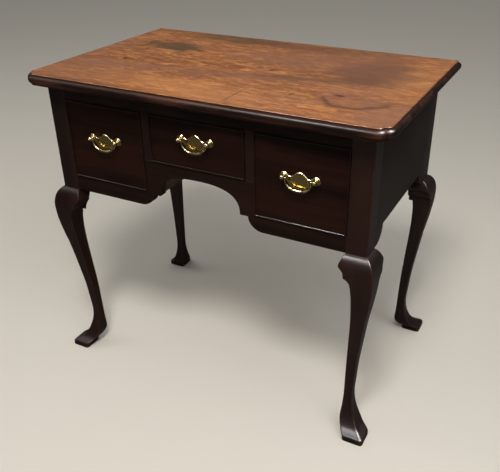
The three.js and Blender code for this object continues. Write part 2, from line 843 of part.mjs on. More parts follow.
function makeHandle(group, name, rise) {
  const outline = plateOutline().slice(0, -1).map((point) => [point.x, point.y + rise]);
  const plate = solid(extrudeAlong('y', outline.reverse(), -plateThickness, 0));
  const plateHoles = sides.map(([, side]) => {
    const radius = shankRadius + jointGap;
    const hole = new THREE.CylinderGeometry(radius, radius, plateThickness + 2 * overrun, latheSides);
    return solid(hole.translate(side * half(handleSpacing), -half(plateThickness), rise));
  });
  addPiece(group, `${name}_handle_plate`, surface(cut(plate, plateHoles)), brass);

  // One post: turned about the y axis, head to the front, nut and shank end behind the front
  const face = -plateThickness;
  const profile = [[0, -headStandoff - headRadius]];
  for (let k = 1; k < headSteps; k += 1) {
    const angle = (k / headSteps) * Math.PI;
    profile.push([headRadius * Math.sin(angle), -headStandoff - headRadius * Math.cos(angle)]);
  }
  profile.push(
    [neckRadius, -headStandoff + headRadius], [neckRadius, face - collarHeight],
    [collarRadius, face - half(collarHeight)], [collarRadius, face],
    [shankRadius, face], [shankRadius, frontThickness],
    [nutRadius, frontThickness], [nutRadius, frontThickness + nutHeight],
    [shankRadius, frontThickness + nutHeight], [shankRadius, frontThickness + nutHeight + shankTail],
    [0, frontThickness + nutHeight + shankTail],
  );
  const turned = new THREE.LatheGeometry(
    profile.map(([radius, y]) => new THREE.Vector2(radius, y)), latheSides,
  );
  for (const [side, sideSign] of sides) {
    const pinHole = new THREE.CylinderGeometry(
      bailEndRadius + jointGap, bailEndRadius + jointGap, headRadius + overrun, latheSides,
    );
    pinHole.rotateZ(Math.PI / 2);
    pinHole.translate(-sideSign * half(headRadius + overrun), -headStandoff, 0);
    const post = solid(turned).subtract(solid(pinHole));
    const mesh = addPiece(group, `${name}_handle_post_${side}`, surface(post), brass);
    mesh.position.set(sideSign * half(handleSpacing), 0, rise);
  }

  const bail = addPiece(group, `${name}_handle_bail`, bailGeometry(), brass);
  bail.position.set(0, -headStandoff, rise);
}

// Bail: a round bar that hangs from a pin in each head and swells towards the middle of its bow
function bailGeometry() {
  const armX = half(handleSpacing) - headRadius - bailEndRadius - jointGap;
  const pinX = half(handleSpacing) - bailEndRadius;
  const right = bowShares.map(([xShare, dropShare]) => [armX * xShare, -bailDrop * dropShare]);
  const path = [
    [pinX, 0], [half(pinX + armX), 0], ...right, [0, -bailDrop],
    ...right.map(([x, z]) => [-x, z]).reverse(), [-half(pinX + armX), 0], [-pinX, 0],
  ].map(([x, z]) => new THREE.Vector3(x, 0, z));
  const curve = new THREE.CatmullRomCurve3(path, false, 'centripetal');
  const rings = [];
  for (let k = 0; k <= bailSteps; k += 1) {
    const share = k / bailSteps;
    const centre = curve.getPointAt(share);
    const tangent = curve.getTangentAt(share);
    const swell = Math.sin(Math.PI * share) ** 4;
    const radius = bailEndRadius + (bailBowRadius - bailEndRadius) * swell;
    const across = new THREE.Vector3(0, 1, 0);
    const outward = tangent.clone().cross(across);
    const ring = [];
    for (let n = 0; n < bailSides; n += 1) {
      const angle = (n / bailSides) * 2 * Math.PI;
      ring.push(centre.clone()
        .addScaledVector(across, radius * Math.cos(angle))
        .addScaledVector(outward, radius * Math.sin(angle)));
    }
    rings.push(ring);
  }
  return skin(rings);
}

makeDrawer({
  name: 'left',
  x: -deepMiddle,
  sill: deepBottom,
  opening: postInner - deepInner,
  height: openingTop - deepBottom,
  handleRise: deepHandleRise,
  tailCount: deepTails,
});
makeDrawer({
  name: 'centre',
  x: 0,
  sill: shallowBottom,
  opening: centreOpening,
  height: openingTop - shallowBottom,
  handleRise: shallowHandleRise,
  tailCount: shallowTails,
});
makeDrawer({
  name: 'right',
  x: deepMiddle,
  sill: deepBottom,
  opening: postInner - deepInner,
  height: openingTop - deepBottom,
  handleRise: deepHandleRise,
  tailCount: deepTails,
});

export default lowboy;
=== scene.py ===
import math

import bmesh
import bpy
import numpy as np
from mathutils import Matrix, Vector


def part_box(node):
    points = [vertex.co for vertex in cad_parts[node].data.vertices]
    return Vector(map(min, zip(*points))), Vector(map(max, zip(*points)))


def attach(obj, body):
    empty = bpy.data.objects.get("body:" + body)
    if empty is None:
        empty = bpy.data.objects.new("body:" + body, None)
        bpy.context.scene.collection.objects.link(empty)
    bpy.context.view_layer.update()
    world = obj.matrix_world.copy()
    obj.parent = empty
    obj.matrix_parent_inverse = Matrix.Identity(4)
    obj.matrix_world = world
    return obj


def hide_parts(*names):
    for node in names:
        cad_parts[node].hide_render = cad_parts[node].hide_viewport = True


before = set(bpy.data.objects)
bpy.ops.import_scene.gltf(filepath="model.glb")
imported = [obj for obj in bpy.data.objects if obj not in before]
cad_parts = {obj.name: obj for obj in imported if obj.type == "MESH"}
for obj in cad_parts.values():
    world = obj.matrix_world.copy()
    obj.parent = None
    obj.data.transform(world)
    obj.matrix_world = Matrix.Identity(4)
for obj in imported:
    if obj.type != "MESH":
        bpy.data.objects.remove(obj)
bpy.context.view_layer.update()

# Camera. It stands where the photograph was taken: a little over a metre up, to the right of the
# table's front. The angles and the lens were fitted to the corners of the table in the photograph.
photo_width = 500
focal_length_px = 649.8
centre_right_px = 15.9
centre_down_px = 12.9
camera_place = (0.6535, -1.1934, 1.0489)
camera_azimuth = math.radians(27.05)
camera_elevation = math.radians(30.23)
camera_roll = math.radians(-0.33)

camera_data = bpy.data.cameras.new("camera")
camera_data.sensor_width = 36
camera_data.lens = camera_data.sensor_width * focal_length_px / photo_width
camera_data.shift_x = -centre_right_px / photo_width
camera_data.shift_y = centre_down_px / photo_width
camera = bpy.data.objects.new("camera", camera_data)
bpy.context.scene.collection.objects.link(camera)
camera.matrix_world = (
    Matrix.Translation(camera_place) @ Matrix.Rotation(camera_azimuth, 4, "Z")
    @ Matrix.Rotation(math.pi / 2 - camera_elevation, 4, "X") @ Matrix.Rotation(camera_roll, 4, "Z")
)
bpy.context.scene.camera = camera

# Top board. Two wide mahogany boards, planed flat and glued up, with the grain along the table. Its
# front and ends carry a thumb moulding under a small quirk, and each front corner is cut back in two
# lobes. Sun has faded the upper face to orange, and use has left stains, a ring mark and fine cracks.
top_low, top_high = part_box("top_board")
moulding_reach = 0.008
quirk_depth = 0.003
quirk_reach = 0.001
quirk_fall = 0.0001
thumb_depth = 0.0074
band_depth = 0.0034
band_reach = 0.0026
notch_depth = 0.0115
upper_arris = 0.0009
lower_arris = 0.0006
thumb_fullness = 1.68
inner_line_shares = (0.99, 0.98)


def top_outline(reach):
    """Plan of the top at a distance outside its upper edge line, as points that run once round.
    The sides are straight. A front corner is two arcs of radius notch depth plus reach, about centres
    one and two notch depths in, and they stop where they cross, on the diagonal of the corner."""
    edge_x = top_high.x - moulding_reach
    edge_y = top_low.y + moulding_reach
    lobe = notch_depth + reach
    cusp = math.sqrt((lobe ** 2 - notch_depth ** 2 / 2) / 2) - notch_depth / 2
    meeting = math.atan2(cusp, notch_depth + cusp)
    first = np.linspace(-math.pi / 2, -meeting, 12)
    second = np.linspace(meeting - math.pi / 2, 0, 12)[1:]
    lobes = np.vstack([
        np.column_stack([edge_x - inwards * notch_depth + lobe * np.cos(turn),
                         edge_y + to_back * notch_depth + lobe * np.sin(turn)])
        for inwards, to_back, turn in ((2, 1, first), (1, 2, second))
    ])
    side = np.column_stack([np.full(12, lobes[-1, 0]), np.linspace(lobes[-1, 1], top_high.y, 13)[1:]])
    right = np.vstack([lobes, side])
    left = right[::-1] * [-1, 1]
    return np.vstack([right, left])


def skin(name, rings, wear=None, loop=False, crease=30):
    """One closed mesh object through rings of equal count: quads between each ring and the next, and a
    face over each end, or, for a loop, quads from the last ring back to the first. Wear is a value from
    0 to 1 for each point. Points that fall together are merged, faces are turned outwards, and edges
    sharper than the crease angle in degrees stay sharp."""
    rings = np.asarray(rings, float)
    count, around = rings.shape[:2]
    spans = count if loop else count - 1
    low = np.arange(spans)[:, None] * around
    high = ((np.arange(spans) + 1) % count)[:, None] * around
    here = np.arange(around)[None, :]
    after = (here + 1) % around
    quads = np.stack([low + here, low + after, high + after, high + here], axis=-1)
    faces = quads.reshape(-1, 4).tolist()
    if not loop:
        faces += [list(range(around))[::-1], list(range((count - 1) * around, count * around))]
    mesh = bpy.data.meshes.new(name)
    mesh.from_pydata(rings.reshape(-1, 3).tolist(), [], faces)
    attribute = mesh.attributes.new("wear", "FLOAT", "POINT")
    if wear is not None:
        attribute.data.foreach_set("value", np.asarray(wear, np.float32).ravel())
    shaped = bmesh.new()
    shaped.from_mesh(mesh)
    bmesh.ops.remove_doubles(shaped, verts=shaped.verts, dist=1e-6)
    bmesh.ops.recalc_face_normals(shaped, faces=shaped.faces)
    shaped.to_mesh(mesh)
    shaped.free()
    mesh.shade_smooth()
    mesh.set_sharp_from_angle(angle=math.radians(crease))
    made = bpy.data.objects.new(name, mesh)
    bpy.context.scene.collection.objects.link(made)
    return made


def moulding_profile():
    """Reach, height and wear from the underside to the upper face. The nose is a quarter circle
    below its widest point, and above it a fuller thumb, 1 = x^n + z^n, up to the quirk. A quarter
    circle rounds the arris."""
    thumb_top = top_high.z - quirk_depth
    nose = thumb_top - thumb_depth
    band_top = top_low.z + band_depth
    power = 2 / thumb_fullness
    under = np.linspace(0, math.pi / 2, 9)[1:]
    over = under[:-1]
    arris = np.linspace(0, math.pi / 2, 5)
    reach = np.concatenate([
        [band_reach - lower_arris, band_reach, band_reach],
        band_reach + (moulding_reach - band_reach) * np.sin(under),
        quirk_reach + (moulding_reach - quirk_reach) * np.cos(over) ** power,
        [quirk_reach, 0], -upper_arris * (1 - np.cos(arris)),
    ])
    height = np.concatenate([
        [top_low.z, top_low.z + lower_arris, band_top], nose - (nose - band_top) * np.cos(under),
        nose + thumb_depth * np.sin(over) ** power,
        [thumb_top, thumb_top + quirk_fall], top_high.z - upper_arris * (1 - np.sin(arris)),
    ])
    wear = [0.1, 0.3, 0], np.full(8, 0.2), 0.6 * np.sin(2 * over), [0, 0], np.ones(5)
    return np.column_stack([reach, height, np.concatenate(wear)])


profile = moulding_profile()
outlines = np.array([top_outline(reach) for reach in profile[:, 0]])
outlines = np.concatenate([outlines, outlines[-1:] * inner_line_shares])
profile = np.vstack([profile, [0, top_high.z, 0]])
heights = np.broadcast_to(profile[:, None, 1:2], outlines.shape[:2] + (1,))
top = skin("moulded_top", np.concatenate([outlines, heights], axis=2),
           np.broadcast_to(profile[:, None, 2], outlines.shape[:2]), crease=28)
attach(top, "case")
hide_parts("top_board")


def feed(tree, made, feeds):
    """Sets inputs of a node, by input name or in input order. Each feed is a value, or an output socket
    that is linked."""
    for key, value in feeds.items() if isinstance(feeds, dict) else enumerate(feeds):
        if isinstance(value, bpy.types.NodeSocket):
            tree.links.new(value, made.inputs[key])
        elif value is not None:
            made.inputs[key].default_value = value


def node(tree, kind, feeds=(), **settings):
    """Adds one shader node with its settings and feeds."""
    made = tree.nodes.new("ShaderNode" + kind)
    for name, value in settings.items():
        setattr(made, name, value)
    feed(tree, made, feeds)
    return made


def math_node(tree, operation, *values, clamp=False):
    """The result of one sum on numbers, kept between 0 and 1 if asked."""
    return node(tree, "Math", values, operation=operation, use_clamp=clamp).outputs[0]


def times(tree, first, second):
    """The product of two numbers."""
    return math_node(tree, "MULTIPLY", first, second)


def plus(tree, first, second):
    """The sum of two numbers."""
    return math_node(tree, "ADD", first, second)


def between(tree, share, first, second):
    """Two numbers mixed by a share from 0 to 1."""
    return node(tree, "Mix", [share, None, first, second], data_type="FLOAT").outputs[0]


def mixed(tree, share, first, second):
    """Two colours mixed by a share from 0 to 1."""
    first, second = ((*colour, 1) if isinstance(colour, tuple) else colour for colour in (first, second))
    return node(tree, "Mix", {0: share, 6: first, 7: second}, data_type="RGBA").outputs[2]


def ramped(tree, value, low, high):
    """0 below low, 1 above high, and a smooth rise between, or a fall where low is the greater."""
    feeds = {"Value": value, "From Min": low, "From Max": high}
    return node(tree, "MapRange", feeds, interpolation_type="SMOOTHSTEP").outputs[0]


def vector_node(tree, operation, *vectors):
    """The result of one sum on vectors."""
    return node(tree, "VectorMath", vectors, operation=operation).outputs[0]


def noise(tree, vector, stretch, detail=3.0, distortion=0.0):
    """Cloudy noise from 0 to 1. Its patches are 1 / stretch metres along each axis."""
    stretched = vector_node(tree, "MULTIPLY", vector, stretch)
    feeds = {"Vector": stretched, "Scale": 1.0, "Detail": detail, "Distortion": distortion}
    return node(tree, "TexNoise", feeds).outputs["Fac"]


def piece_place(tree):
    """Place on the piece, in metres of the shared frame."""
    return node(tree, "TexCoord").outputs["Object"]


def piece_wear(tree):
    """The piece's own wear values, from 0 to 1."""
    return node(tree, "Attribute", attribute_name="wear").outputs["Fac"]


def new_material(name):
    """A material, its node tree and its shader."""
    made = bpy.data.materials.new(name)
    made.use_nodes = True
    return made, made.node_tree, made.node_tree.nodes["Principled BSDF"]


def new_group(name, vectors, numbers, results):
    """A shader node group with only its sockets: the names of its vectors, numbers and results."""
    group = bpy.data.node_groups.new(name, "ShaderNodeTree")
    rows = [("INPUT", "Vector", vectors), ("INPUT", "Float", numbers), ("OUTPUT", "Float", results)]
    for way, kind, sockets in rows:
        for socket in sockets:
            group.interface.new_socket(name=socket, in_out=way, socket_type="NodeSocket" + kind)
    return group, group.nodes.new("NodeGroupInput").outputs, group.nodes.new("NodeGroupOutput")


def placed_group(tree, group, **feeds):
    """The outputs of a group that is set into a tree, with its named inputs fed."""
    return node(tree, "Group", feeds, node_tree=group).outputs


def make_grain():
    """Wood grain along X: broad bands of growth, streaks a few millimetres wide, fine fibres and short
    dark pores, each one noise stretched along the grain."""
    layers = [
        # output, patches for each metre along and across the grain, detail, distortion
        ("Bands", (1.1, 17, 17), 3.0, 0.3), ("Streaks", (4.5, 120, 120), 4.0, 0.4),
        ("Fibres", (26, 900, 900), 2.0, 0.0), ("Pores", (95, 1700, 1700), 1.0, 0.0),
    ]
    group, source, result = new_group("wood_grain", ["Vector"], ["Wander"], [layer[0] for layer in layers])
    drift = noise(group, source["Vector"], (1.6, 3.0, 3.0), 1.0)
    shift = times(group, math_node(group, "SUBTRACT", drift, 0.5), source["Wander"])
    offset = node(group, "CombineXYZ", [0, shift, shift]).outputs[0]
    along = vector_node(group, "ADD", source["Vector"], offset)
    grain = {name: noise(group, along, *look) for name, *look in layers}
    grain["Pores"] = ramped(group, grain["Pores"], 0.62, 0.74)
    feed(group, result, grain)
    return group


def make_stain():
    """A mark on a surface: 1 inside an ellipse of a given centre, half size and turn, fading to 0 over
    a soft rim. Ring is 1 on the rim alone."""
    group, source, result = new_group(
        "stain", ["Vector", "Centre", "Size"], ["Turn", "Softness"], ["Mark", "Ring"])
    turn = node(group, "CombineXYZ", [0, 0, source["Turn"]]).outputs[0]
    local = node(group, "Mapping", [source["Vector"], source["Centre"], turn, source["Size"]],
                 vector_type="TEXTURE").outputs[0]
    distance = node(group, "VectorMath", [local], operation="LENGTH").outputs["Value"]
    outer = plus(group, 1.0, source["Softness"])
    inner = math_node(group, "SUBTRACT", 1.0, source["Softness"])
    off_rim = math_node(group, "ABSOLUTE", math_node(group, "SUBTRACT", distance, 1.0))
    rim = math_node(group, "DIVIDE", off_rim, source["Softness"])
    mark = ramped(group, distance, outer, inner)
    feed(group, result, [mark, math_node(group, "SUBTRACT", 1.0, rim, clamp=True)])
    return group


wood_grain = make_grain()
stain = make_stain()
polish_low = (0.0044, 0.0018, 0.0011)
polish_high = (0.022, 0.0072, 0.0037)
band_range = (0.32, 0.68)
streak_range = (0.3, 0.7)
patch_range = (0.5, 0.75)
broken_range = (0.35, 0.65)
wax_patches = (9, 9, 9)
wear_breaks = (130, 130, 130)
fibre_share = 0.35
pore_share = 0.55
pore_darkness = 0.35
pore_dullness = 0.2
patch_share = 0.6
wear_share = 0.75
wax_shine = 0.06
wax_spread = 0.16
streak_rise = 0.5
pore_depth = 0.6
relief_strength = 0.25


def wood_material(name, grain_axis, low, high, roughness, streak_share=0.6, wear_colour=None,
                  patch_colour=None, wander=0.05, specular=0.28, relief_depth=0.0006):
    """A timber finish: grain along one axis, from a low to a high colour, darker pores, worn edges from
    the piece's wear values, and cloudy patches of wax that change its gloss."""
    made, tree, shader = new_material(name)
    place = piece_place(tree)
    turn = {"x": (0, 0, 0), "y": (0, 0, -math.pi / 2), "z": (0, math.pi / 2, 0)}[grain_axis]
    along = node(tree, "Mapping", {"Vector": place, "Rotation": turn}).outputs[0]
    grain = placed_group(tree, wood_grain, Vector=along, Wander=wander)
    bands = ramped(tree, grain["Bands"], *band_range)
    streaks = ramped(tree, grain["Streaks"], *streak_range)
    colour = mixed(tree, between(tree, streak_share, bands, streaks), low, high)
    colour = mixed(tree, times(tree, grain["Fibres"], fibre_share), colour, low)
    pore_colour = tuple(pore_darkness * channel for channel in low)
    colour = mixed(tree, times(tree, grain["Pores"], pore_share), colour, pore_colour)
    clouds = noise(tree, place, wax_patches, 3.0, 0.5)
    if patch_colour:
        patches = times(tree, ramped(tree, clouds, *patch_range), patch_share)
        colour = mixed(tree, patches, colour, patch_colour)
    if wear_colour:
        broken = ramped(tree, noise(tree, place, wear_breaks), *broken_range)
        worn = math_node(tree, "MULTIPLY", piece_wear(tree), times(tree, broken, wear_share), clamp=True)
        colour = mixed(tree, worn, colour, wear_colour)
    gloss = plus(tree, roughness - wax_shine, times(tree, clouds, wax_spread))
    raised = times(tree, grain["Streaks"], streak_rise)
    relief = math_node(tree, "SUBTRACT", raised, times(tree, grain["Pores"], pore_depth))
    bump = node(tree, "Bump", {"Height": relief, "Strength": relief_strength, "Distance": relief_depth})
    feed(tree, shader, {
        "Base Color": colour, "Specular IOR Level": specular, "Normal": bump.outputs[0],
        "Roughness": plus(tree, gloss, times(tree, grain["Pores"], pore_dullness)),
    })
    return made


faded_low = (0.215, 0.074, 0.026)
faded_high = (0.455, 0.173, 0.052)
fleck_light = (0.74, 0.32, 0.105)
fleck_dark = (0.24, 0.082, 0.036)
bloom_colour = (0.33, 0.144, 0.08)
umber = (0.15, 0.066, 0.034)
grey = (0.108, 0.067, 0.034)
plum = (0.27, 0.118, 0.068)
pale = (0.64, 0.27, 0.085)
near_black = (0.054, 0.025, 0.015)
edge_low = (0.0105, 0.0033, 0.0018)
edge_high = (0.068, 0.02, 0.0095)
quirk_colour = (0.036, 0.009, 0.0036)
flecks = [
    # patches for each metre, range and share of the light ones, range and share of the dark ones
    ((17, 70, 1), (0.5, 0.7), 0.52, (0.48, 0.33), 0.66),
    ((40, 150, 1), (0.5, 0.6), 0.36, (0.48, 0.405), 0.62),
]
bloom_patches = (5.5, 15, 1)
bloom_range = (0.5, 0.66)
bloom_share = 0.38
wobble_scale = 20.0
mark_wobble = (0.12, 0.055, 0)
ring_wobble_shares = (0.3, 0.3, 0)
broad_marks = [
    # place, half size, turn in degrees, softness, strength, colour
    ((0.258, 0.066), (0.08, 0.098), -6, 0.42, 0.82, umber),
    ((0.345, 0.06), (0.05, 0.11), 0, 0.8, 0.2, pale),
    ((-0.06, -0.175), (0.15, 0.045), 0, 0.8, 0.4, pale),
    ((0.12, 0.12), (0.15, 0.1), 0, 0.75, 0.5, plum),
    ((-0.24, 0.096), (0.078, 0.03), -8, 0.45, 0.8, grey),
    ((-0.205, 0.08), (0.048, 0.018), 6, 0.4, 0.6, grey),
    ((-0.312, 0.1), (0.016, 0.03), 24, 0.5, 0.6, grey),
    ((-0.13, 0.213), (0.125, 0.028), 0, 0.55, 0.7, grey),
    ((0.11, 0.216), (0.15, 0.034), 0, 0.7, 0.5, umber),
    ((-0.06, -0.068), (0.23, 0.016), 7, 0.9, 0.65, plum),
    ((0.13, -0.03), (0.13, 0.014), 9, 0.8, 0.7, umber),
    ((-0.23, -0.11), (0.17, 0.01), 2, 0.8, 0.3, plum),
    ((-0.33, -0.165), (0.13, 0.07), 8, 0.85, 0.5, plum),
    ((-0.365, 0.02), (0.04, 0.12), 0, 0.8, 0.35, plum),
    ((-0.27, -0.232), (0.15, 0.012), 0, 0.8, 0.6, umber),
    ((0.282, -0.118), (0.056, 0.042), 0, 0.5, 0.45, plum),
    ((0.355, -0.185), (0.05, 0.08), 15, 0.75, 0.68, plum),
]
small_marks = [
    # place, half size, turn, softness, strength
    ((-0.275, -0.048), (0.0045, 0.0075), 30, 0.5, 0.85),
    ((0.06, 0.001), (0.005, 0.0075), -20, 0.5, 0.75),
    ((0.026, 0.014), (0.008, 0.005), 0, 0.6, 0.5),
    ((0.142, -0.08), (0.0055, 0.0035), 10, 0.6, 0.55),
    ((0.165, -0.13), (0.004, 0.008), -12, 0.5, 0.7),
    ((0.248, -0.102), (0.011, 0.0048), -8, 0.5, 0.8),
    ((-0.132, -0.112), (0.009, 0.0025), 8, 0.6, 0.45),
    ((0.0715, -0.185), (0.001, 0.056), -1, 0.6, 0.85),
    ((0.173, -0.183), (0.0008, 0.028), -3, 0.7, 0.4),
]
ring_mark = ((0.282, -0.112), (0.058, 0.05), 0, 0.2)
ring_strength = 0.65
ring_front = (-0.105, -0.125)
handled_patches = (7, 60, 60)
handled_range = (0.4, 0.75)
rubbed_range = (0.5, 0.75)
rubbed_gloss = 0.16
handled_dullness = 0.34
quirk_fade = (0.0009, 0.0002)
face_fade = (0.0013, 0.0008)


def stain_at(tree, place, centre, half_size, turn, softness):
    """The outputs of one stain on the top, turned in degrees."""
    return placed_group(tree, stain, Vector=place, Centre=(*centre, top_high.z), Size=(*half_size, 1),
                        Turn=math.radians(turn), Softness=softness)


def faded_top_material():
    """The sun-faded upper face: orange wood with darker streaks that climb a little to the right, and
    its marks, each a stain at its own place on the top. The moulded edge below keeps the dark polish."""
    made = wood_material("faded_top", "x", faded_low, faded_high, 0.44, 0.55, wander=0.3, specular=0.26)
    tree = made.node_tree
    shader = tree.nodes["Principled BSDF"]
    colour = shader.inputs["Base Color"].links[0].from_socket
    dull_face = shader.inputs["Roughness"].links[0].from_socket
    place = piece_place(tree)
    for stretch, light_range, light_share, dark_range, dark_share in flecks:
        patches = noise(tree, place, stretch, 5.0, 0.9)
        light = ramped(tree, patches, *light_range)
        dark = ramped(tree, patches, *dark_range)
        colour = mixed(tree, times(tree, light, light_share), colour, fleck_light)
        colour = mixed(tree, times(tree, dark, dark_share), colour, fleck_dark)
    bloom = ramped(tree, noise(tree, place, bloom_patches, 4.0, 0.6), *bloom_range)
    colour = mixed(tree, times(tree, bloom, bloom_share), colour, bloom_colour)
    wobble = node(tree, "TexNoise", {"Vector": place, "Scale": wobble_scale, "Detail": 5.0})
    pushed = vector_node(tree, "SUBTRACT", wobble.outputs["Color"], (0.5, 0.5, 0.5))
    pushed = vector_node(tree, "MULTIPLY", pushed, mark_wobble)
    loose_place = vector_node(tree, "ADD", place, pushed)
    for *look, strength, tint in broad_marks:
        mark = stain_at(tree, loose_place, *look)["Mark"]
        colour = mixed(tree, times(tree, mark, strength), colour, tint)
    for *look, strength in small_marks:
        mark = stain_at(tree, place, *look)["Mark"]
        colour = mixed(tree, times(tree, mark, strength), colour, near_black)
    pushed = vector_node(tree, "MULTIPLY", pushed, ring_wobble_shares)
    near_place = vector_node(tree, "ADD", place, pushed)
    ring = stain_at(tree, near_place, *ring_mark)["Ring"]
    axes = node(tree, "SeparateXYZ", [place]).outputs
    front_half = times(tree, ramped(tree, axes["Y"], *ring_front), ring_strength)
    colour = mixed(tree, times(tree, ring, front_half), colour, near_black)
    handled = noise(tree, place, handled_patches)
    in_quirk = ramped(tree, axes["Z"], *(top_high.z - quirk_depth - np.array(quirk_fade)))
    polish = mixed(tree, ramped(tree, handled, *handled_range), edge_low, edge_high)
    polish = mixed(tree, in_quirk, polish, quirk_colour)
    upper_face = ramped(tree, axes["Z"], *(top_high.z - np.array(face_fade)))
    rubbed = times(tree, upper_face, ramped(tree, piece_wear(tree), *rubbed_range))
    edge_gloss = plus(tree, rubbed_gloss, times(tree, handled, handled_dullness))
    gloss = between(tree, upper_face, edge_gloss, dull_face)
    feed(tree, shader, {
        "Base Color": mixed(tree, upper_face, polish, colour), "Coat Weight": rubbed,
        "Roughness": between(tree, rubbed, gloss, rubbed_gloss), "Coat Roughness": 0.1,
    })
    return made


top.data.materials.append(faded_top_material())

# Legs. Each is cut from one piece of mahogany together with its corner post: a square foot with a
# flared toe, a slim ankle, a shin that swells forwards to the knee, and a rolled top under the case.
# The rails and panels are tenoned into the post.
rail_low, rail_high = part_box("top_rail")
case_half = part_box("side_panel_right")[1].x
case_front = rail_low.y
case_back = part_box("back_panel")[1].y
case_top = rail_high.z
post_inner = -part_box("leg_front_left")[1].x
apron_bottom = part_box("apron")[0].z
toe_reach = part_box("leg_back_right")[1].x - case_half
sole_inset = 0.014
pad_height = 0.012
ankle_height = 0.095
ankle_set_in = 0.011
ankle_size = 0.0185
knee_drop = 0.043
knee_reach = 0.0205
knee_inset = 0.022
arris_radius = 0.0014
hidden_radius = 0.0001
pad_corner_radius = 0.0062
pad_ease = 0.0042
sole_ease = 0.0008
toe_height = 0.018
shoulder_ease = 0.0005
bracket_height = 0.062
covered_share = 1.2
bracket_fade = 0.012
scuffed_height = 0.07
upper_wear_share = 0.6
corner_wear = [0, 0.3, 0.8, 1, 0.8, 0.3, 0]
leg_low = (0.008, 0.0024, 0.0012)
leg_high = (0.026, 0.0078, 0.0039)
leg_wear = (0.064, 0.026, 0.016)
# Shares of the way up, of the outward reach and of the inward reach, from one named size to the next.
# Those of the roll are of the way up, and how much of the knee's reach is left.
foot_shares = [
    (0.05, 0.2, 0.39), (0.115, 0.4, 0.68), (0.21, 0.57, 0.94), (0.32, 0.71, 1.1),
    (0.46, 0.82, 1.1), (0.64, 0.92, 1.05), (0.83, 0.98, 1.02),
]
shin_shares = [
    (0.12, 0.06, 0.11), (0.27, 0.16, 0.29), (0.47, 0.38, 0.71), (0.65, 0.6, 1.09),
    (0.78, 0.81, 1.24), (0.88, 0.94, 1.16), (0.92, 0.975, 1),
]
roll_shares = [(0.25, 0.96), (0.45, 0.87), (0.62, 0.74), (0.77, 0.57), (0.88, 0.38), (0.96, 0.18)]


def curve_through(points, steps):
    """Centripetal Catmull-Rom curve with a number of steps on each span: a point is blended three
    times in a row from its four neighbours, over knots spaced by the root of their distance."""
    given = np.asarray(points, float)
    ends = np.vstack([2 * given[0] - given[1], given, 2 * given[-1] - given[-2]])
    gaps = np.linalg.norm(np.diff(ends, axis=0), axis=1) ** 0.5
    knots = np.concatenate([[0], np.cumsum(gaps)])[:, None, None]
    k0, k1, k2, k3 = knots[:-3], knots[1:-2], knots[2:-1], knots[3:]
    p0, p1, p2, p3 = (ends[i:len(ends) - 3 + i, None, :] for i in range(4))
    t = k1 + (k2 - k1) * np.linspace(0, 1, steps, endpoint=False)[None, :, None]
    a1 = ((k1 - t) * p0 + (t - k0) * p1) / (k1 - k0)
    a2 = ((k2 - t) * p1 + (t - k1) * p2) / (k2 - k1)
    a3 = ((k3 - t) * p2 + (t - k2) * p3) / (k3 - k2)
    b1 = ((k2 - t) * a1 + (t - k0) * a2) / (k2 - k0)
    b2 = ((k3 - t) * a2 + (t - k1) * a3) / (k3 - k1)
    curve = ((k2 - t) * b1 + (t - k1) * b2) / (k2 - k1)
    return np.vstack([curve.reshape(-1, given.shape[1]), given[-1]])


def leg_line():
    """Height, outward reach and inward reach of the leg's square section from floor to shoulder. The
    pad is upright, and the rest is one smooth curve through points between its named sizes: start
    plus share times the way from start to end."""
    pad = np.array([pad_height, toe_reach, sole_inset])
    ankle = np.array([ankle_height, -ankle_set_in, ankle_set_in + ankle_size])
    knee = np.array([apron_bottom - knee_drop, knee_reach, knee_inset])
    roll = [(knee[0] + (apron_bottom - knee[0]) * rise, knee_reach * outer, knee_inset)
            for rise, outer in roll_shares]
    rows = [pad, pad + (ankle - pad) * foot_shares, ankle, ankle + (knee - ankle) * shin_shares, knee,
            roll, (apron_bottom, 0, knee_inset)]
    return curve_through(np.vstack(rows), 5)


leg_curve = leg_line()


def rounded_rectangles(x_pairs, y_pairs, heights, corners):
    """One ring for each height: a rectangle between the first and second x and y values. A corner has
    five points on its quarter circle and one on the flat at each side. Corners gives four radii for
    each ring, in the order first x first y, second x first y, both second, first x second y. None is
    more than 0.45 of the shorter side."""
    most = 0.45 * np.minimum(abs(x_pairs[:, 1] - x_pairs[:, 0]), abs(y_pairs[:, 1] - y_pairs[:, 0]))
    bend = np.repeat(np.minimum(corners, most[:, None]), 7, axis=1)
    quarter = np.linspace(0, math.pi / 2, 5)
    one = np.vstack([(1, -0.6), np.column_stack([np.cos(quarter), np.sin(quarter)]), (-0.6, 1)])
    bows = np.vstack([one * [-1, -1], one[:, ::-1] * [1, -1], one, one[:, ::-1] * [-1, 1]])
    at_x = np.repeat([0, 1, 1, 0], 7)
    at_y = np.repeat([0, 0, 1, 1], 7)
    x_way = np.sign(x_pairs[:, 1:] - x_pairs[:, :1])
    y_way = np.sign(y_pairs[:, 1:] - y_pairs[:, :1])
    x = x_pairs[:, at_x] + x_way * bend * (np.where(at_x, -1, 1) + bows[:, 0])
    y = y_pairs[:, at_y] + y_way * bend * (np.where(at_y, -1, 1) + bows[:, 1])
    z = np.broadcast_to(heights[:, None], x.shape)
    return np.stack([x, y, z], axis=-1)


